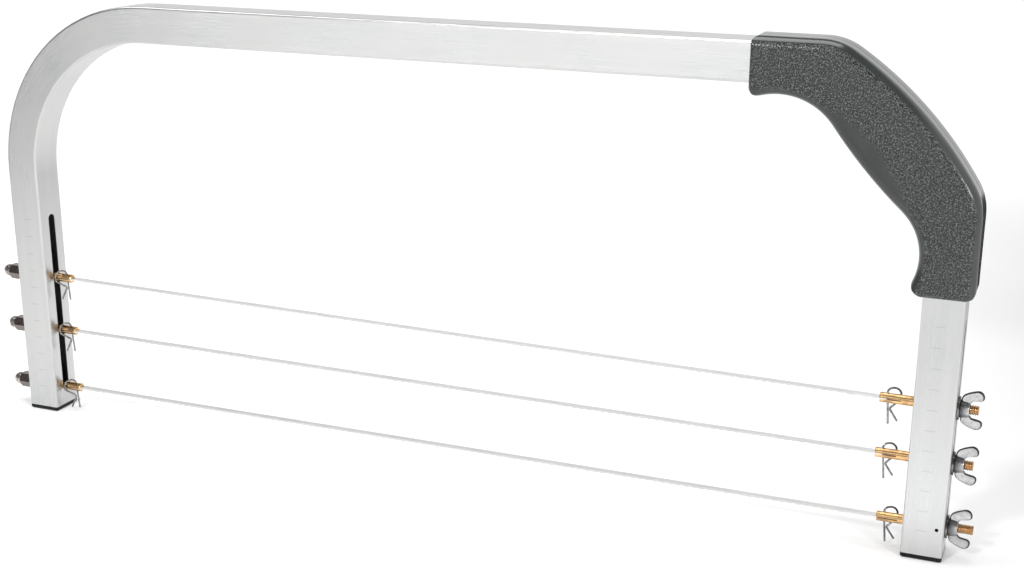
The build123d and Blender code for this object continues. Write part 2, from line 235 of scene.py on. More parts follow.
# %% [markdown]
# The tube is anodised aluminium with a satin face. It is a full metal, so its brightness is its
# base colour times what it reflects. Fine lines along the bow are pressed into the surface as
# relief, which smears each reflection square to the lines, as on real drawn tube. The inside,
# which shows through the slots, is rougher, and its colour is painted near black as painted
# shade inside the tube. Each leg's front has a scale of faint short lines, which helps to set
# both ends of a blade to the same height. The pairs in this cell and the next ones are the
# limits of masks: each is 0 at the first number and 1 at the second.

# %% Aluminium
inside_wall = (9.3 * mm, 8.6 * mm)  # away from the tube's middle line
scale_step = 10 * mm
scale_line = (0.028, 0.015)  # away from a line's middle, as a share of a step
scale_shift = 0.8 * mm  # of the lines towards the inner side of each leg
scale_half_width = (2.6 * mm, 2.3 * mm)
scale_bottom = (12 * mm, 13 * mm)
scale_top = (118 * mm, 117 * mm)
leg_front = (-9.0 * mm, -9.4 * mm)

aluminium, tree, shader, place = start_material("satin_aluminium")
x, y, z = split_vector(tree, place)
across, along = use_group(tree, bow_place, {"Vector": place})
run = join_vector(tree, along, across, y)
fine = use_group(tree, worked_lines, {"Vector": run, "Fineness": 5200.0, "Length": 45.0})[0]
broad = use_group(tree, worked_lines, {"Vector": run, "Fineness": 260.0, "Length": 14.0})[0]
cloud = use_group(tree, clouds, {"Vector": place, "Size": 0.045})[0]
from_middle = calculate(tree, "ABSOLUTE", across)
from_middle = calculate(tree, "MAXIMUM", from_middle, calculate(tree, "ABSOLUTE", y))
inside_dull_and_shade = ramp_between(tree, from_middle, *inside_wall)
worn = calculate(tree, "MULTIPLY_ADD", broad, 0.5, calculate(tree, "MULTIPLY", cloud, 0.5))
face = mix_colours(tree, worn, (0.545, 0.55, 0.555), (0.60, 0.60, 0.592))
phase = calculate(tree, "FRACT", calculate(tree, "DIVIDE", z, scale_step))
off_line = calculate(tree, "ABSOLUTE", calculate(tree, "SUBTRACT", phase, 0.5))
beside = calculate(tree, "ABSOLUTE", calculate(tree, "ADD", across, scale_shift))
marked = ramp_between(tree, off_line, *scale_line)
for value, limits in (
    (beside, scale_half_width), (z, scale_top), (z, scale_bottom), (y, leg_front)
):
    marked = calculate(tree, "MULTIPLY", marked, ramp_between(tree, value, *limits))
face = mix_colours(tree, marked, face, (0.47, 0.47, 0.475))
# painted shade: the tube's inside, seen through the slots, is painted near black
colour = mix_colours(tree, inside_dull_and_shade, face, (0.07, 0.07, 0.072))
tree.links.new(colour, shader.inputs["Base Color"])
shader.inputs["Metallic"].default_value = 1.0
satin = calculate(tree, "MULTIPLY_ADD", cloud, 0.05, 0.24)
satin = calculate(tree, "MULTIPLY_ADD", fine, 0.10, satin)
rough = calculate(tree, "MAXIMUM", satin, calculate(tree, "MULTIPLY", inside_dull_and_shade, 0.6))
tree.links.new(rough, shader.inputs["Roughness"])
add_relief(tree, shader, fine, 0.012 * mm)
finish_with(aluminium, "frame_tube")
print("finish made:", aluminium.name)

# %% [markdown]
# The handle is moulded in dark grey plastic. Its flat faces have a worm-like grain that stops
# short of the finger side and of the rounded crown, where the mould was left polished. The
# grain could be modelled, but its ridges are a third of a millimetre wide. Here it is one fine
# octave of noise, used as relief. Its low values are grooves painted dark, as painted shade,
# and its high values are ridges painted pale, as painted highlight. The rounded crown gets its
# gloss from the shader's coat, which is full above the bar and weak round the bend.

# %% Handle plastic
finger_edge = (-15.5 * mm, -10.5 * mm)  # across the bow, where the grain begins
edge_waver = 3.0 * mm  # how far clouds shift that edge
face_depth = (10.9 * mm, 11.5 * mm)  # away from the bow's plane, where the flat faces lie
rounding_depth = (5.5 * mm, 7.0 * mm)  # the same, where the rounding to them begins
crown_edge = (0.0, 5.0 * mm)  # across the bow
bar_part = (142 * mm, 128 * mm)  # X from the bend to the bar
groove_shade_values, ridge_highlight_values = (0.48, 0.36), (0.53, 0.68)  # of the noise
grain_values = (0.36, 0.68)  # from the bottom of a groove to the top of a ridge

handle_plastic, tree, shader, place = start_material("grained_handle_plastic")
x, y, z = split_vector(tree, place)
depth = calculate(tree, "ABSOLUTE", y)
across = use_group(tree, bow_place, {"Vector": place})["Across"]
cloud = use_group(tree, clouds, {"Vector": place, "Size": 0.03})[0]
waver = calculate(tree, "MULTIPLY_ADD", cloud, edge_waver, -edge_waver / 2)
finger_side = ramp_between(tree, calculate(tree, "ADD", across, waver), *finger_edge)
flat_face = ramp_between(tree, depth, *face_depth)
grained = calculate(tree, "MULTIPLY", finger_side, flat_face)
on_bar = ramp_between(tree, x, *bar_part, 0.3, 1.0)
crown = calculate(tree, "MULTIPLY", on_bar, ramp_between(tree, across, *crown_edge))
rounded = ramp_between(tree, depth, *rounding_depth, 0.25, 1.0)
rounded = calculate(tree, "SUBTRACT", rounded, flat_face)
polished = calculate(tree, "MULTIPLY", crown, rounded, clamp=True)
worms = add_node(
    tree,
    "ShaderNodeTexNoise",
    {"Vector": place, "Scale": 1500.0, "Detail": 0.0, "Distortion": 0.5},
).outputs[0]
# painted shade in the grain's grooves and painted highlight on its ridges
groove = calculate(tree, "MULTIPLY", ramp_between(tree, worms, *groove_shade_values), grained)
ridge_highlight = calculate(tree, "MULTIPLY", ramp_between(tree, worms, *ridge_highlight_values), grained)
speckle = add_node(tree, "ShaderNodeTexNoise", {"Vector": place, "Scale": 2600.0, "Detail": 1.0})
body = mix_colours(tree, cloud, (0.022, 0.026, 0.025), (0.032, 0.037, 0.036))
colour = mix_colours(tree, groove, body, (0.005, 0.006, 0.006))
colour = mix_colours(tree, ridge_highlight, colour, (0.105, 0.115, 0.112))
tree.links.new(colour, shader.inputs["Base Color"])
tree.links.new(polished, shader.inputs["Coat Weight"])
shader.inputs["Coat Roughness"].default_value = 0.12
shader.inputs["Coat IOR"].default_value = 1.7
polish = calculate(tree, "MULTIPLY_ADD", grained, 0.03, 0.16)
polish = calculate(tree, "MULTIPLY_ADD", cloud, 0.05, polish)
tree.links.new(polish, shader.inputs["Roughness"])
fine_relief = calculate(tree, "MULTIPLY", speckle.outputs[0], 0.04)
height = calculate(tree, "ADD", ramp_between(tree, worms, *grain_values), fine_relief)
add_relief(tree, shader, calculate(tree, "MULTIPLY", height, grained), 0.2 * mm)
finish_with(handle_plastic, "handle_front_half", "handle_rear_half")
print("finish made:", handle_plastic.name)

# %% [markdown]
# The caps in the feet are soft black plastic. They slide on worktops, so they are matt and a
# little uneven. One cloud group and one fine noise are enough for pieces this small. The
# shader's specular level is lowered, because rubbed soft plastic reflects less than a hard one.

# %% Cap plastic
cap_plastic, tree, shader, place = start_material("black_cap_plastic")
cloud = use_group(tree, clouds, {"Vector": place, "Size": 0.006})[0]
speckle = add_node(tree, "ShaderNodeTexNoise", {"Vector": place, "Scale": 2200.0, "Detail": 2.0})
colour = mix_colours(tree, cloud, (0.004, 0.004, 0.004), (0.009, 0.009, 0.010))
tree.links.new(colour, shader.inputs["Base Color"])
rough = calculate(tree, "MULTIPLY_ADD", cloud, 0.15, 0.35)
tree.links.new(rough, shader.inputs["Roughness"])
shader.inputs["Specular IOR Level"].default_value = 0.2
add_relief(tree, shader, speckle.outputs[0], 0.02 * mm)
finish_with(cap_plastic, "left_foot_cap", "right_foot_cap")
print("finish made:", cap_plastic.name)

# %% [markdown]
# Rods, nuts and washers are turned or stamped. Turning leaves rings round the long axis, which
# runs along X, so the shared lines are fed with coordinates whose X and Y change places and
# whose Z counts little: they then change quickly along the rod and hardly round it. Metal goes
# brown where it is seldom rubbed, so clouds mix each one towards a duller colour. The rods'
# threaded ends outside the leg and the acorn nuts' hexagons are painted in that darker colour
# all over, as painted shade. The nuts' domes stay bright.

# %% Brass and plated steel
def turned_metal(name, bright, dull_and_shade, roughness, fineness, depth, shaded_end=None):
    """A metal with turning rings round X, mixed by clouds from bright to dull. The last argument
    is a pair of places along X: from the first to the second the metal is painted towards the
    dull colour, as painted shade."""
    made, tree, shader, place = start_material(name)
    x, y, z = split_vector(tree, place)
    turned = join_vector(tree, y, x, calculate(tree, "MULTIPLY", z, 0.05))
    rings = use_group(
        tree, worked_lines, {"Vector": turned, "Fineness": fineness, "Length": 60.0}
    )[0]
    cloud = use_group(tree, clouds, {"Vector": place, "Size": 0.004})[0]
    tarnish_and_shade = cloud
    if shaded_end:
        # painted shade: past the end pair the metal is painted towards the dull colour
        tarnish_and_shade = calculate(tree, "MAXIMUM", cloud, ramp_between(tree, x, *shaded_end, 0.0, 0.85))
    tree.links.new(mix_colours(tree, tarnish_and_shade, bright, dull_and_shade), shader.inputs["Base Color"])
    shader.inputs["Metallic"].default_value = 1.0
    rough = calculate(tree, "MULTIPLY_ADD", rings, 0.10, roughness)
    rough = calculate(tree, "MULTIPLY_ADD", cloud, 0.08, rough)
    tree.links.new(rough, shader.inputs["Roughness"])
    add_relief(tree, shader, rings, depth)
    return made


leg_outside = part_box("right_foot_cap")[1][0]
dome_length = 5.5 * mm
dome_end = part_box("top_acorn_nut")[0][0] + dome_length
brass = turned_metal(
    "turned_brass", (0.90, 0.59, 0.27), (0.45, 0.27, 0.14), 0.14, 5000.0, 0.004 * mm,
    # painted shade on the threaded end outside the leg
    shaded_end=(leg_outside, leg_outside + 2 * mm),
)
plated_steel = turned_metal(
    "plated_steel", (0.27, 0.26, 0.25), (0.13, 0.125, 0.12), 0.16, 6000.0, 0.003 * mm
)
tarnished_nickel = turned_metal(
    "tarnished_nickel", (0.66, 0.61, 0.57), (0.12, 0.095, 0.085), 0.14, 6000.0, 0.003 * mm,
    # painted shade on the hexagon beside the leg
    shaded_end=(dome_end, dome_end + 0.6 * mm),
)
for level in levels:
    finish_with(brass, f"{level}_left_rod", f"{level}_right_rod")
    finish_with(plated_steel, f"{level}_left_washer", f"{level}_right_washer")
    finish_with(tarnished_nickel, f"{level}_acorn_nut")
finish_with(plated_steel, "handle_screws")
print("finishes made:", brass.name, plated_steel.name, tarnished_nickel.name)

# %% [markdown]
# The blades are bright spring steel, rolled along their length. Where a blade is tucked into a
# rod's slit it is painted dark, as painted shade inside the slit. Their teeth are ground, which
# leaves the bevel rougher and paler than the flat. Its fine scratches scatter light to all
# sides, so it is given mostly as a pale matt skin and only partly as a metal.

# %% Blade steel
bevel = (-0.4 * mm, -0.6 * mm)  # Y where the ground bevel begins
left_slit_shade, right_slit_shade = (0.0, -1.5 * mm), (3 * mm, 4 * mm)  # X from the rods' inner ends

blade_steel, tree, shader, place = start_material("rolled_blade_steel")
x, y, z = split_vector(tree, place)
rolled = use_group(tree, worked_lines, {"Vector": place, "Fineness": 6500.0, "Length": 25.0})[0]
cloud = use_group(tree, clouds, {"Vector": place, "Size": 0.02})[0]
left_rods_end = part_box("top_left_rod")[1][0]
right_rods_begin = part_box("top_right_rod")[0][0]
# painted shade where the blade sits inside a rod's slit
in_left_slit = ramp_between(tree, x, *(left_rods_end + step for step in left_slit_shade))
in_right_slit = ramp_between(tree, x, *(right_rods_begin + step for step in right_slit_shade))
slit_shade = calculate(tree, "MAXIMUM", in_left_slit, in_right_slit)
ground = ramp_between(tree, y, *bevel)
face = mix_colours(tree, cloud, (0.66, 0.665, 0.67), (0.74, 0.74, 0.73))
face = mix_colours(tree, ground, face, (0.80, 0.80, 0.79))
colour = mix_colours(tree, slit_shade, face, (0.10, 0.07, 0.05))
tree.links.new(colour, shader.inputs["Base Color"])
tree.links.new(ramp_between(tree, y, *bevel, 1.0, 0.25), shader.inputs["Metallic"])
rough = calculate(tree, "MULTIPLY_ADD", rolled, 0.08, 0.22)
rough = calculate(tree, "MULTIPLY_ADD", ground, 0.12, rough)
tree.links.new(rough, shader.inputs["Roughness"])
add_relief(tree, shader, rolled, 0.004 * mm)
for level in levels:
    finish_with(blade_steel, f"{level}_blade")
print("finish made:", blade_steel.name)

# %% [markdown]
# The small pieces that a hand touches get their full shape here: the wire of the clips, the
# thread of the rods and the cast wing nuts. Each is a surface worked out with numpy. Its points
# lie on a grid, so one function can turn any such grid into a closed mesh: neighbours in the
# grid become quads, and the first and last ring are either joined or closed by a fan.

# %% From a grid of points to a closed mesh
def skin(grid, joined=False):
    """Points and faces over a grid of ring, place on the ring and XYZ. Each ring closes on
    itself. The last ring joins the first, or else both are closed by a fan to their middle."""
    count, sides = grid.shape[:2]
    points = grid.reshape(-1, 3)
    bands = count if joined else count - 1
    ring, side = np.meshgrid(np.arange(bands), np.arange(sides), indexing="ij")
    following, beside = (ring + 1) % count, (side + 1) % sides
    corners = (ring * sides + side, ring * sides + beside,
               following * sides + beside, following * sides + side)
    faces = np.stack(corners, axis=-1).reshape(-1, 4).tolist()
    if not joined:
        points = np.concatenate((points, grid[:1].mean(axis=1), grid[-1:].mean(axis=1)))
        around = np.arange(sides)
        beside, last = (around + 1) % sides, (count - 1) * sides
        middle = np.full(sides, count * sides)
        faces += np.stack((beside, around, middle), axis=-1).tolist()
        faces += np.stack((around + last, beside + last, middle + 1), axis=-1).tolist()
    return points, faces


print("skin helper ready")

# %% [markdown]
# A list of points and faces becomes a piece in two steps. Its faces are turned outwards and its
# edges told to shade smooth or sharp. Then it is put into the scene in place of a construction
# node, on the body that it moves with. Numbers for the material can be kept on its points.

# %% From a mesh to a piece
def mesh_of(name, points, faces, sharp_from=35):
    """A mesh whose faces point outwards. Edges that turn by more than sharp_from degrees stay
    sharp, the rest is shaded smooth."""
    mesh = bpy.data.meshes.new(name)
    mesh.from_pydata(points.tolist(), [], faces)
    shape = bmesh.new()
    shape.from_mesh(mesh)
    if shape.calc_volume(signed=True) < 0:
        bmesh.ops.reverse_faces(shape, faces=shape.faces)
    shape.to_mesh(mesh)
    shape.free()
    mesh.shade_smooth()
    mesh.set_sharp_from_angle(angle=radians(sharp_from))
    return mesh


def place_piece(name, mesh, material, body, replaced):
    """Puts a mesh into the scene as a piece that rides on a body in place of a node."""
    mesh.materials.append(material)
    piece = bpy.data.objects.new(name, mesh)
    bpy.context.scene.collection.objects.link(piece)
    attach(piece, body)
    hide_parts(replaced)
    print("piece made:", name, len(mesh.polygons), "faces")


def keep_on_points(mesh, name, values):
    """Stores one number or one vector for each point, for the material to read."""
    kind, field = ("FLOAT_VECTOR", "vector") if values.ndim == 2 else ("FLOAT", "value")
    mesh.attributes.new(name, kind, "POINT").data.foreach_set(field, values.ravel())


print("mesh helpers ready")

# %% [markdown]
# The clips' wire and the outline of the nuts' hub are straight runs with rounded corners. Each
# corner becomes an arc that touches both of its runs, as when wire is bent round a pin. A list
# of corners and radii is shorter than a list of points, and one radius can be changed alone.

# %% A line with rounded corners
def rounded_route(corners, radii, arc_points=9):
    """Points of a flat line through corners, with each inner corner rounded. The arc leaves
    the straight run radius times tan(turn / 2) before the corner. From there it goes radius
    times sin(angle) along the old direction and radius times 1 - cos(angle) square to it."""
    corners = np.asarray(corners, float)
    runs = np.diff(corners, axis=0)
    runs /= np.linalg.norm(runs, axis=1)[:, None]
    parts = [corners[:1]]
    for corner, old, new, radius in zip(corners[1:-1], runs[:-1], runs[1:], radii):
        turn = np.arccos(np.clip(old @ new, -1, 1))
        inward = (new - old * cos(turn)) / sin(turn)
        angle = np.linspace(0, turn, arc_points)[:, None]
        start = corner - old * radius * np.tan(turn / 2)
        parts.append(start + radius * (np.sin(angle) * old + (1 - np.cos(angle)) * inward))
    parts.append(corners[-1:])
    return np.concatenate(parts)


right_angle = rounded_route([(0, 0), (1, 0), (1, 1)], [0.5], 3)
print("route of a right angle:", right_angle.round(2).tolist())

# %% [markdown]
# A hairpin clip is one length of drawn spring wire. Drawing leaves fine lines along it, and
# they have to follow every bend. The object's own coordinates can't give that, so the material
# reads an attribute that every point of the wire carries: its place along and across the wire.

# %% Spring wire
wire, tree, shader, place = start_material("drawn_spring_wire")
run = add_node(tree, "ShaderNodeAttribute", attribute_name="wire_run").outputs["Vector"]
drawn = use_group(tree, worked_lines, {"Vector": run, "Fineness": 4500.0, "Length": 120.0})[0]
cloud = use_group(tree, clouds, {"Vector": place, "Size": 0.002})[0]
colour = mix_colours(tree, cloud, (0.34, 0.34, 0.35), (0.16, 0.155, 0.155))
tree.links.new(colour, shader.inputs["Base Color"])
shader.inputs["Metallic"].default_value = 1.0
rough = calculate(tree, "MULTIPLY_ADD", drawn, 0.12, 0.16)
tree.links.new(rough, shader.inputs["Roughness"])
add_relief(tree, shader, drawn, 0.006 * mm)
print("finish made:", wire.name)

# %% [markdown]
# The construction model has each clip as an eight-sided wire. A bevelled curve would be round,
# but here a round section is carried along the route with numpy. That also rounds the cut ends
# off, and it gives each point its place on the wire.

# %% A round wire along a route
def wire_along(route, across, up, radius, sides=16):
    """Rings of a round wire on a flat route. A ring's point is the route's point, plus radius
    times cos(a) along the route's side direction and sin(a) along the plane's normal. Near each
    end the radius falls as the square root of what is left, which rounds the cut end."""
    step = np.linalg.norm(np.diff(route, axis=0), axis=1)
    place = np.concatenate(([0], np.cumsum(step)))
    tips = radius * (1 - np.cos(np.linspace(0.25, 1, 5) * pi / 2))
    places = np.unique(np.concatenate((tips, place[1:-1], place[-1] - tips)))
    line = np.stack([np.interp(places, place, route[:, axis]) for axis in (0, 1)], axis=-1)
    ahead = np.gradient(line, places, axis=0)
    ahead /= np.linalg.norm(ahead, axis=1)[:, None]
    left = np.minimum(places, place[-1] - places) / radius
    girth = radius * np.sqrt(1 - (1 - np.clip(left, 0, 1)) ** 2)
    angle = np.linspace(0, 2 * pi, sides, endpoint=False)
    side = np.outer(girth, np.cos(angle))[..., None]
    off_plane = np.outer(girth, np.sin(angle))[..., None]
    flat = line[:, None, :] + side * np.stack((-ahead[:, 1], ahead[:, 0]), axis=-1)[:, None, :]
    rings = flat[..., :1] * across + flat[..., 1:] * up + off_plane * np.cross(across, up)
    run = np.broadcast_to(places[:, None, None], side.shape)
    marks = np.concatenate((run, side, off_plane), axis=-1).reshape(-1, 3)
    ends = np.array([(0, 0, 0), (place[-1], 0, 0)])
    return rings, np.concatenate((marks, ends))


print("wire helper ready")

# %% [markdown]
# A clip's straight leg drops through rod and blade. Its sprung leg loops over the rod, hugs it
# at the knee and flares at the toe. Every clip has the same route. It is stood on its swivel's
# axis, and the left ones are turned to the front and the right ones to the back.

# %% Hairpin clips
clip_wire_radius = 0.5 * mm
clip_swing = {"left": radians(208), "right": radians(28)}  # where the sprung leg points
# In millimetres: away from the straight leg, and up along it from the middle of the rod
clip_corners = np.array(
    [(0, -13.0), (0, 4.5), (6.7, 4.5), (6.7, -1.3), (0.82, -5.4), (4.5, -12.2)]
)
clip_rounds = np.array([2.3, 3.8, 1.4, 1.0])

route = rounded_route(clip_corners * mm, clip_rounds * mm)
for level in levels:
    blade_way = np.array(joints[f"{level}_clamp_travel"]["axis"])
    for side_name, swing in clip_swing.items():
        swivel = joints[f"{level}_{side_name}_clip_swivel"]
        up = np.array(swivel["axis"]) / np.linalg.norm(swivel["axis"])
        outward = blade_way - up * (blade_way @ up)
        outward /= np.linalg.norm(outward)
        across = outward * cos(swing) + np.array((0, 1, 0)) * sin(swing)
        rings, marks = wire_along(route, across, up, clip_wire_radius)
        mesh = mesh_of("clip", *skin(rings + np.array(swivel["pos_m"])), sharp_from=80)
        keep_on_points(mesh, "wire_run", marks)
        node = f"{level}_{side_name}_clip"
        place_piece(f"{level}_{side_name}_wire_clip", mesh, wire,
                    f"{level}_{side_name}_hairpin", node)

# %% [markdown]
# The outer ends of the right rods are threaded, and the wing nuts run on that thread. A thread
# is a cylinder whose radius depends on height and turn together: one groove climbs by one pitch
# each time round. Relief in the material could show the lines too, but not the notched outline.

# %% A threaded end
rod_radius = 2.38 * mm
thread_pitch = 1.058 * mm
thread_depth = 0.42 * mm
thread_begin = -12.5 * mm  # along the rod from its nut's base, so inside the leg
groove_peak = 1.15  # the groove's profile is cut off at 1, which leaves it a flat bottom
groove_flank = 0.42  # the share of the pitch over which the profile falls by 1
end_bevel = 0.35 * mm
end_gap = 0.02 * mm  # keeps the rod's end inside the construction model's


def thread_grid(begin, end, sides=40, rows_per_turn=10):
    """Rings of a threaded rod along X. The groove's phase is place / pitch - turn, its depth
    rises linearly to the middle of the phase, it fades in over the first pitch, and the last
    ring is drawn in by the end's bevel."""
    rows = int((end - begin) / thread_pitch * rows_per_turn)
    place = np.linspace(begin, end, rows)
    turn = np.arange(sides) / sides
    phase = (place[:, None] / thread_pitch - turn) % 1
    groove = np.clip(groove_peak - np.abs(phase - 0.5) / groove_flank, 0, 1)
    fade = np.clip((place - begin) / thread_pitch - 1, 0, 1)[:, None]
    bevel = np.clip(place - (end - end_bevel), 0, None)[:, None]
    radius = np.minimum(rod_radius - thread_depth * groove * fade, rod_radius - bevel)
    angle = 2 * pi * turn
    along = np.broadcast_to(place[:, None], radius.shape)
    return np.stack((along, radius * np.cos(angle), radius * np.sin(angle)), axis=-1)


print("turns of thread in 10 mm:", round(10 * mm / thread_pitch, 1))

# %% [markdown]
# The slit inner end of each right rod keeps the construction model's shape. A copy of that mesh
# is merged, cut square inside the leg and closed, and the threaded end is set against the cut.

# %% Right rods with their thread
def nut_frame(level):
    """The point on a rod's axis at its nut's base, and the directions along it and upwards."""
    way = np.array(joints[f"{level}_clamp_travel"]["axis"])
    way /= np.linalg.norm(way)
    base = np.array(joints[f"{level}_wing_turn"]["pos_m"])
    return base, way, np.array((-way[2], 0, way[0]))


for level in levels:
    base, way, upright = nut_frame(level)
    axes = np.stack((way, np.array((0, 1, 0)), upright))
    node = f"{level}_right_rod"
    rod_end = (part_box(node)[1][0] - base[0]) / way[0] - end_gap
    shape = bmesh.new()
    shape.from_mesh(nodes[node].data)
    bmesh.ops.remove_doubles(shape, verts=shape.verts, dist=1e-6)
    cut = base + way * thread_begin
    everything = shape.verts[:] + shape.edges[:] + shape.faces[:]
    cut_made = bmesh.ops.bisect_plane(shape, geom=everything, plane_co=cut, plane_no=way,
                                      clear_outer=True, dist=1e-7)["geom_cut"]
    edges = [part for part in cut_made if isinstance(part, bmesh.types.BMEdge)]
    bmesh.ops.contextual_create(shape, geom=edges)
    points, faces = skin(thread_grid(thread_begin, rod_end) @ axes + base)
    shape.from_mesh(mesh_of("thread", points, faces))
    bmesh.ops.recalc_face_normals(shape, faces=shape.faces)
    mesh = bpy.data.meshes.new("rod")
    shape.to_mesh(mesh)
    shape.free()
    mesh.shade_smooth()
    mesh.set_sharp_from_angle(angle=radians(30))
    place_piece(f"{level}_threaded_rod", mesh, brass, f"{level}_blade_set", node)

# %% [markdown]
# A wing nut is cast in zinc. Its faces are bright, and the edge of each wing and the flange
# are painted much darker, as painted shade. Where an edge lies is known while the shape is
# worked out, so the next step stores a mark from 0 to 1 on every point, and this material
# reads it.

# %% Zinc
zinc, tree, shader, place = start_material("cast_zinc")
rim = add_node(tree, "ShaderNodeAttribute", attribute_name="rim").outputs["Fac"]
cloud = use_group(tree, clouds, {"Vector": place, "Size": 0.0025})[0]
pits = add_node(tree, "ShaderNodeTexNoise", {"Vector": place, "Scale": 2400.0, "Detail": 2.0})
face = mix_colours(tree, cloud, (0.50, 0.50, 0.50), (0.38, 0.38, 0.39))
# painted shade: the marked edges of the wings and the flange are painted near black
tree.links.new(mix_colours(tree, rim, face, (0.035, 0.035, 0.04)), shader.inputs["Base Color"])
shader.inputs["Metallic"].default_value = 1.0
rough = calculate(tree, "MULTIPLY_ADD", cloud, 0.12, 0.2)
tree.links.new(calculate(tree, "MULTIPLY_ADD", rim, 0.15, rough), shader.inputs["Roughness"])
add_relief(tree, shader, pits.outputs[0], 0.03 * mm)
print("finish made:", zinc.name)

# %% [markdown]
# Each nut has two leaf-shaped wings with a raised rim. A wing could be sculpted, but numbers
# keep all of them alike. It is one closed surface: one parameter runs round its outline, and
# the other goes from the middle of the front over the edge to the middle of the back.

# %% One wing
# In millimetres: along the rod from the nut's base, and outward from the rod's axis
wing_middle = np.array((4.6, 6.1))
wing_corners = np.array([
    (1.4, 2.9), (0.45, 4.0), (0.4, 5.5), (1.2, 6.9), (3.0, 8.1), (5.4, 9.1), (7.7, 9.65),
    (9.3, 9.0), (10.2, 7.6), (10.2, 6.0), (9.2, 5.1), (7.2, 4.7), (5.2, 4.2), (4.0, 2.9),
])
# Each ring's share of the way from the wing's middle to its outline, and its half thickness
wing_shares = np.array([0.03, 0.35, 0.62, 0.72, 0.78, 0.84, 0.90, 0.945, 0.975, 0.993, 1.0])
wing_swell = np.array([0.82, 0.82, 0.82, 0.83, 0.90, 0.95, 0.95, 0.87, 0.68, 0.36, 0.0])


def smooth_loop(corners, steps=7):
    """A closed smooth line through corners. Between two corners each point is a cubic mix of
    the four nearest corners, so that the line's direction changes without a jump."""
    share = (np.arange(steps) / steps)[:, None, None]
    before, here, after, later = (np.roll(corners, shift, axis=0) for shift in (1, 0, -1, -2))
    linear = (after - before) * share
    square = (2 * before - 5 * here + 4 * after - later) * share**2
    cube = (3 * here - before - 3 * after + later) * share**3
    return ((2 * here + linear + square + cube) / 2).transpose(1, 0, 2).reshape(-1, 2)


def wing_grid(outline):
    """Rings of one wing as along, outward and sideways. Every ring is the outline drawn
    towards the wing's middle by a share, at the half thickness that belongs to that share."""
    shares = np.concatenate((wing_shares, wing_shares[-2::-1]))[:, None, None]
    swell = np.concatenate((wing_swell, -wing_swell[-2::-1]))[:, None, None]
    flat = wing_middle + (outline - wing_middle) * shares
    thick = np.broadcast_to(swell, (*flat.shape[:2], 1))
    return np.concatenate((flat, thick), axis=-1) * mm, shares[:, 0, 0]


leaf_grid, leaf_shares = wing_grid(smooth_loop(wing_corners))
print("wing:", leaf_grid.shape[0], "rings of", leaf_grid.shape[1], "points")

# %% [markdown]
# The hub with its base flange is a profile turned round the rod's axis. Hub and wings run into
# each other, as the parts of a casting do. Each nut was tightened to another turn, so its wings
# lean a little. Its points get their marks of painted shade here: full on the wings' edges, and
# a little weaker on the flange.

# %% Wing nuts
wing_lean = {"bottom": radians(-3), "middle": radians(1), "top": radians(5)}
# In millimetres, as for the wing
hub_profile = [
    (2.0, 2.43), (0.0, 2.43), (0.0, 4.3), (1.0, 4.3), (4.3, 3.6), (4.3, 2.43), (2.0, 2.43)
]
hub_rounds = [0.2, 0.35, 0.3, 0.5, 0.2]
edge_shade_begin, edge_shade_fade = 0.86, 0.05  # the share where the painted shade begins, and how fast it grows
flange_width, flange_shade = 1.3 * mm, 0.8

profile = rounded_route(hub_profile, hub_rounds, 5)[:-1] * mm
angle = np.linspace(0, 2 * pi, 40, endpoint=False)
hub_along = np.broadcast_to(profile[:, None, 0], (len(profile), len(angle)))
hub_grid = np.stack((hub_along, np.outer(profile[:, 1], np.cos(angle)),
                     np.outer(profile[:, 1], np.sin(angle))), axis=-1)
for level in levels:
    base, way, upright = nut_frame(level)
    outward = upright * cos(wing_lean[level]) - np.array((0, 1, 0)) * sin(wing_lean[level])
    sideways = np.cross(way, outward)
    shape = bmesh.new()
    edge_shade_marks = []
    for out, grid, joined in ((outward, hub_grid, True), (outward, leaf_grid, False),
                              (-outward, leaf_grid, False)):
        points, faces = skin(grid @ np.stack((way, out, sideways)) + base, joined)
        shape.from_mesh(mesh_of("nut_part", points, faces))
        marks = np.zeros(len(points))
        if joined:
            # painted shade on the flange, and below on the wings' edges
            marks[:] = (grid[..., 0] < flange_width).ravel() * flange_shade
        else:
            rings = np.clip((leaf_shares - edge_shade_begin) / edge_shade_fade, 0, 1)
            marks[:-2] = np.repeat(rings, grid.shape[1])
        edge_shade_marks.append(marks)
    mesh = bpy.data.meshes.new("nut")
    shape.to_mesh(mesh)
    shape.free()
    mesh.shade_smooth()
    mesh.set_sharp_from_angle(angle=radians(50))
    keep_on_points(mesh, "rim", np.concatenate(edge_shade_marks))
    place_piece(f"{level}_cast_wing_nut", mesh, zinc, f"{level}_clamp_nut",
                f"{level}_wing_nut")

# %% [markdown]
# The leveler stands on white paper. A studio bends the paper up behind the object, so that no
# edge shows. Here a flat square is enough, because its material hides the edge.

# %% Floor
floor_reach = 6.0  # metres
floor_mesh = bpy.data.meshes.new("studio_floor")
corners = np.array([(-1, -1, 0), (1, -1, 0), (1, 1, 0), (-1, 1, 0)]) * floor_reach
floor_mesh.from_pydata(corners.tolist(), [], [(0, 1, 2, 3)])
floor = bpy.data.objects.new("studio_floor", floor_mesh)
bpy.context.scene.collection.objects.link(floor)
print("floor made:", floor.name)

# %% [markdown]
# Near the object the paper is a plain surface that takes a shadow. Real paper is lit from more
# sides than a few lamps can give, so rays that see it directly or as a reflection also find a
# faint glow. It is strongest just in front of the bow on the right, and weaker further forward,
# at the far left and behind on the right. Flat metal mirrors that as soft changes of tone. Far
# away the same rays see an even white instead, which leaves no horizon.

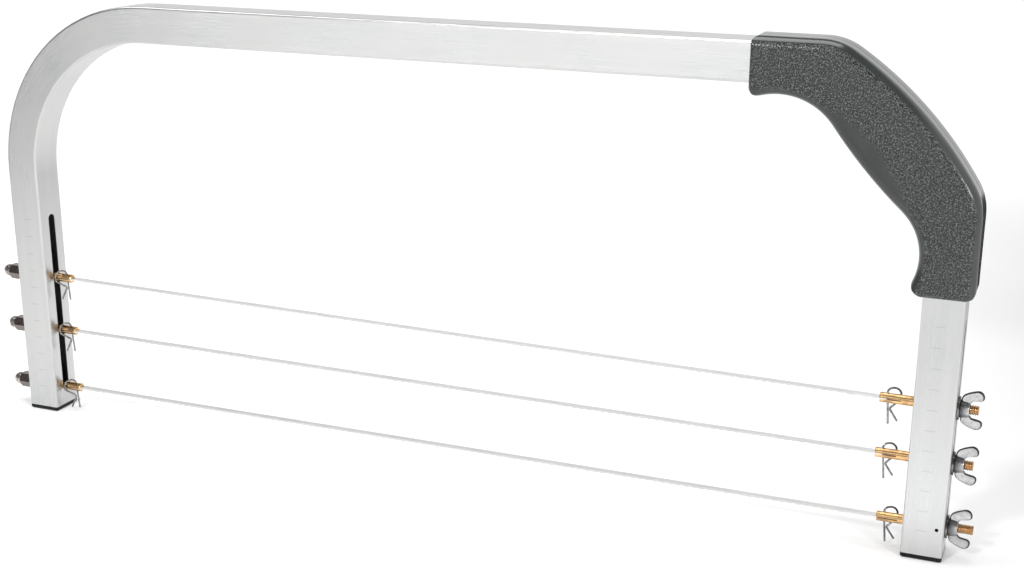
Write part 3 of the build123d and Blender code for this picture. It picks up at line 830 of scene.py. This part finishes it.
# %% Studio paper
# All lengths in this cell are in metres
glow = 0.22
in_front_of_bow, behind_bow = (-0.01, -0.07), (-0.16, 0.16)
right_part = (-0.25, 0.2)
front_gain = (-0.30, -0.02, -0.20, 0.42)  # from Y, to Y, glow added at each
far_left_loss = (-0.32, -0.6, 0.0, 0.12)  # from X, to X, glow taken at each
far_right_loss = (0.10, 0.42, 0.0, 0.34)
far_away = (0.55, 0.95)  # from the middle, where paper turns into even white
even_white = (-1.0, -1.7, 1.06, 2.5)  # from Y, to Y, strength at each

paper, tree, shader, place = start_material("studio_paper")
shader.inputs["Base Color"].default_value = (0.9, 0.9, 0.9, 1)
shader.inputs["Roughness"].default_value = 0.9
shader.inputs["Specular IOR Level"].default_value = 0.0
shader.inputs["Emission Color"].default_value = (1, 1, 1, 1)
path = add_node(tree, "ShaderNodeLightPath").outputs
seen = calculate(tree, "MAXIMUM", path["Is Camera Ray"], path["Is Glossy Ray"])
seen = calculate(tree, "MAXIMUM", seen, path["Is Transmission Ray"])
x, y, z = split_vector(tree, place)
in_front = ramp_between(tree, y, *in_front_of_bow)
gain = calculate(
    tree, "MULTIPLY", ramp_between(tree, x, *right_part), ramp_between(tree, y, *front_gain)
)
gain = calculate(tree, "MULTIPLY", gain, in_front)
loss_left = calculate(tree, "MULTIPLY", ramp_between(tree, x, *far_left_loss), in_front)
loss_right = calculate(
    tree, "MULTIPLY", ramp_between(tree, x, *far_right_loss), ramp_between(tree, y, *behind_bow)
)
loss = calculate(tree, "ADD", loss_left, loss_right)
near_tone = calculate(tree, "SUBTRACT", calculate(tree, "ADD", gain, glow), loss)
tree.links.new(calculate(tree, "MULTIPLY", seen, near_tone), shader.inputs["Emission Strength"])
distance = add_node(tree, "ShaderNodeVectorMath", {0: place}, operation="LENGTH")
far = ramp_between(tree, distance.outputs["Value"], *far_away)
white = add_node(tree, "ShaderNodeEmission", {"Strength": ramp_between(tree, y, *even_white)})
share = calculate(tree, "MULTIPLY", far, seen)
both = add_node(tree, "ShaderNodeMixShader", {0: share, 1: shader.outputs[0], 2: white.outputs[0]})
tree.links.new(both.outputs[0], tree.nodes["Material Output"].inputs["Surface"])
floor_mesh.materials.append(paper)
print("finish made:", paper.name)

# %% [markdown]
# The walls and the ceiling are the world's background, given by direction alone: bright all
# round, and dim overhead, so that metal that faces up isn't washed out. The dim part reaches
# lower at the left and in front. Four square softboxes give the highlights. The two in front
# are small, which keeps the bright line on the handle narrow.

# %% World and lamps
walls_and_ceiling = (0.30, 0.55, 1.04, 0.2)  # from height, to height, strength at each
dim_left, dim_front = -0.3, -0.25  # how X and Y of a direction add to its height

scene = bpy.context.scene
world = bpy.data.worlds.new("studio")
scene.world = world
world.use_nodes = True
tree = world.node_tree
background = tree.nodes["Background"]
background.inputs["Color"].default_value = (1, 1, 1, 1)
direction = add_node(tree, "ShaderNodeTexCoord").outputs["Generated"]
x, y, z = split_vector(tree, direction)
height = calculate(tree, "MULTIPLY_ADD", x, dim_left, z)
height = calculate(tree, "MULTIPLY_ADD", y, dim_front, height)
strength = ramp_between(tree, height, *walls_and_ceiling)
tree.links.new(strength, background.inputs["Strength"])


def softbox(name, place, aim, size, power):
    """A square area lamp at place, turned to aim."""
    data = bpy.data.lights.new(name, "AREA")
    data.size = size
    data.energy = power
    lamp = bpy.data.objects.new(name, data)
    scene.collection.objects.link(lamp)
    lamp.location = place
    lamp.rotation_euler = (Vector(aim) - Vector(place)).to_track_quat("-Z", "Y").to_euler()
    print("lamp:", name, power, "W")


softbox("front", (-0.3, -1.4, 1.0), (0.0, 0.0, 0.1), 0.2, 11)
softbox("right_front", (1.2, -0.8, 0.5), (0.1, 0.0, 0.1), 0.2, 5)
softbox("top", (0.05, 0.1, 1.5), (0.05, 0.0, 0.1), 0.9, 9)
softbox("left", (-0.8, -0.1, 1.3), (0.05, 0.0, 0.1), 0.6, 5)

# %% [markdown]
# Polished things show what stands round them. In an all-white room they would lose their edges,
# so a studio sets up cards just outside the picture. A grey one on the left gives the left bend
# its tone, and a black one behind on the right gives the handle its dark back edge. Only
# reflections see them.

# %% Cards
def standing_card(name, near, far, height, tone):
    """An upright card from one point on the floor to another, of one grey tone."""
    mesh = bpy.data.meshes.new(name)
    corners = [(*near, 0), (*far, 0), (*far, height), (*near, height)]
    mesh.from_pydata(corners, [], [(0, 1, 2, 3)])
    card = bpy.data.objects.new(name, mesh)
    scene.collection.objects.link(card)
    card.visible_camera = card.visible_diffuse = card.visible_shadow = False
    made, _, shader, _ = start_material(name)
    shader.inputs["Base Color"].default_value = (tone, tone, tone, 1)
    shader.inputs["Roughness"].default_value = 1.0
    mesh.materials.append(made)
    print("card made:", name)


standing_card("grey_card", (-0.8, -0.8), (-0.8, 0.5), 0.35, 0.33)
standing_card("black_card", (0.22, 0.45), (0.6, 0.45), 0.12, 0.03)

# %% [markdown]
# The camera stands where the photographer's did, so the render can be laid over the picture.
# Its place, its turn and its focal length in pixels were worked out from the bow's own straight
# edges. The turn is built from three axes: the view's direction comes from yaw and pitch, and
# the other two start level and are then rolled about it.

# %% Camera
image_width = 1024  # pixels, and the focal length too
sensor_width = 36.0  # millimetres
focal_pixels = 1489.08
camera_place = (307.125 * mm, -666.21 * mm, 324.99 * mm)
yaw, pitch, roll = radians(-21.6), radians(-17.03), radians(0.29)
forward = Vector((sin(yaw) * cos(pitch), cos(yaw) * cos(pitch), sin(pitch)))
level_right = Vector((cos(yaw), -sin(yaw), 0))
level_up = level_right.cross(forward)
camera_right = cos(roll) * level_right + sin(roll) * level_up
camera_up = -sin(roll) * level_right + cos(roll) * level_up
camera_data = bpy.data.cameras.new("studio_camera")
camera_data.sensor_width = sensor_width
camera_data.lens = focal_pixels / image_width * sensor_width
camera_data.clip_start = 0.02
camera = bpy.data.objects.new("studio_camera", camera_data)
scene.collection.objects.link(camera)
turn = Matrix((camera_right, camera_up, -forward)).transposed().to_4x4()
camera.matrix_world = Matrix.Translation(camera_place) @ turn
scene.camera = camera
scene.view_settings.view_transform = "Standard"
print("camera lens:", round(camera_data.lens, 2), "mm")
